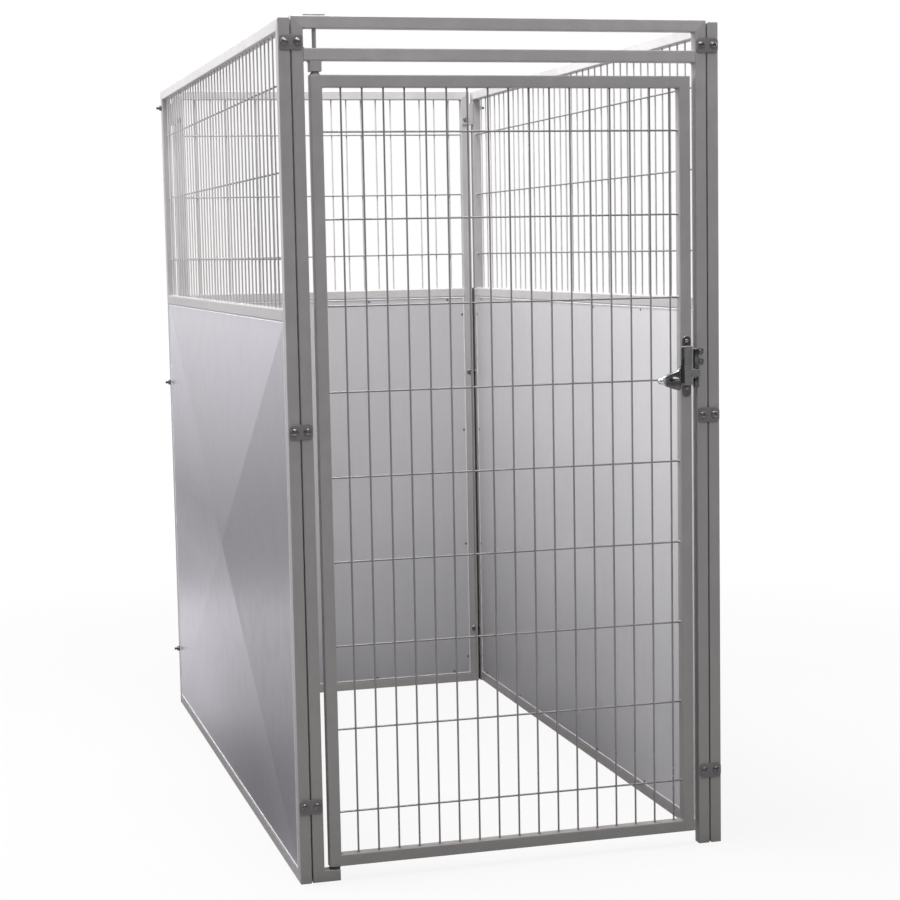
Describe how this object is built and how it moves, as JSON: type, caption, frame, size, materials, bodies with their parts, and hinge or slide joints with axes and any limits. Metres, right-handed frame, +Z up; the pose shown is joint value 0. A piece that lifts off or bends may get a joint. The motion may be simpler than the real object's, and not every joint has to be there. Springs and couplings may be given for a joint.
{
  "type": "outdoor dog kennel run",
  "caption": "Tall open-topped run of bolted square-tube panels, wire mesh above sheet on three sides, with a full-mesh gate on lift-out hinge pins and a lever latch.",
  "frame": {"origin": "on the floor, under the middle of the whole outline", "axes": "+X across the gate to its latch side, +Y from the gate to the rear panel, +Z up"},
  "size_m": [1.004, 1.8599, 1.8385],
  "materials": {
    "powder_coat": "satin grey powder coat",
    "wire_coat": "satin grey powder coat on wire",
    "panel_sheet": "smooth pale metallic sheet",
    "plate_coat": "dark grey coat",
    "zinc_plate": "weathered zinc plate",
    "latch_chrome": "dark polished plate",
    "bush_nylon": "matte black"
  },
  "bodies": {
    "frame": {"front_left_post": "powder_coat", "front_right_post": "powder_coat", "front_top_rail": "powder_coat", "front_transom_rail": "powder_coat", "hinge_stub": "powder_coat", "hinge_foot": "powder_coat", "lower_hinge_pin": "zinc_plate", "foot_spacer": "bush_nylon", "left_front_post": "powder_coat", "left_rear_post": "powder_coat", "left_top_rail": "powder_coat", "left_mid_rail": "powder_coat", "left_bottom_rail": "powder_coat", "left_sheet": "panel_sheet", "left_uprights": "wire_coat", "left_cross_wires": "wire_coat", "right_front_post": "powder_coat", "right_rear_post": "powder_coat", "right_top_rail": "powder_coat", "right_mid_rail": "powder_coat", "right_bottom_rail": "powder_coat", "right_sheet": "panel_sheet", "right_uprights": "wire_coat", "right_cross_wires": "wire_coat", "rear_left_post": "powder_coat", "rear_right_post": "powder_coat", "rear_top_rail": "powder_coat", "rear_mid_rail": "powder_coat", "rear_bottom_rail": "powder_coat", "rear_sheet": "panel_sheet", "rear_uprights": "wire_coat", "rear_cross_wires": "wire_coat", "sheet_cleats": "powder_coat", "sheet_rivets": "zinc_plate", "front_corner_plates": "plate_coat", "front_plate_bolts": "zinc_plate", "front_plate_inserts": "zinc_plate", "rear_corner_angles": "powder_coat", "rear_top_brackets": "powder_coat", "rear_corner_bolts": "zinc_plate", "rear_corner_nuts": "zinc_plate", "latch_strike": "latch_chrome", "latch_strike_screws": "zinc_plate"},
    "gate": {"gate_hinge_stile": "powder_coat", "gate_latch_stile": "powder_coat", "gate_top_rail": "powder_coat", "gate_bottom_rail": "powder_coat", "gate_uprights": "wire_coat", "gate_cross_wires": "wire_coat", "gate_upper_bush": "bush_nylon", "gate_lower_bush": "bush_nylon", "latch_base_plate": "latch_chrome", "latch_housing": "latch_chrome", "latch_screws": "zinc_plate", "latch_lever_pin": "zinc_plate", "latch_lever_spring": "zinc_plate"},
    "latch_lever": {"latch_lever": "latch_chrome"},
    "latch_bolt": {"latch_bolt": "zinc_plate"},
    "upper_hinge_pin": {"upper_hinge_pin": "zinc_plate"}
  },
  "joints": [
    {"name": "gate_swing", "type": "hinge", "parent": "frame", "child": "gate", "pos_m": [-0.4085, -0.89865, 0], "axis": [0, 0, -1], "range_deg": [0, 110]},
    {"name": "upper_pin_lift", "type": "slide", "parent": "frame", "child": "upper_hinge_pin", "axis": [0, 0, 1], "range_m": [0, 0.06]},
    {"name": "lever_pull", "type": "hinge", "parent": "gate", "child": "latch_lever", "pos_m": [0.3959, -0.92085, 1.068], "axis": [0, 0, 1], "range_deg": [0, 40], "stiffness_Nm_per_rad": 0.05},
    {"name": "bolt_draw", "type": "slide", "parent": "gate", "child": "latch_bolt", "axis": [-1, 0, 0], "range_m": [0, 0.0033]}
  ],
  "couplings": [
    {"joint": "bolt_draw", "follows": "lever_pull", "m_per_rad": 0.0045837}
  ]
}
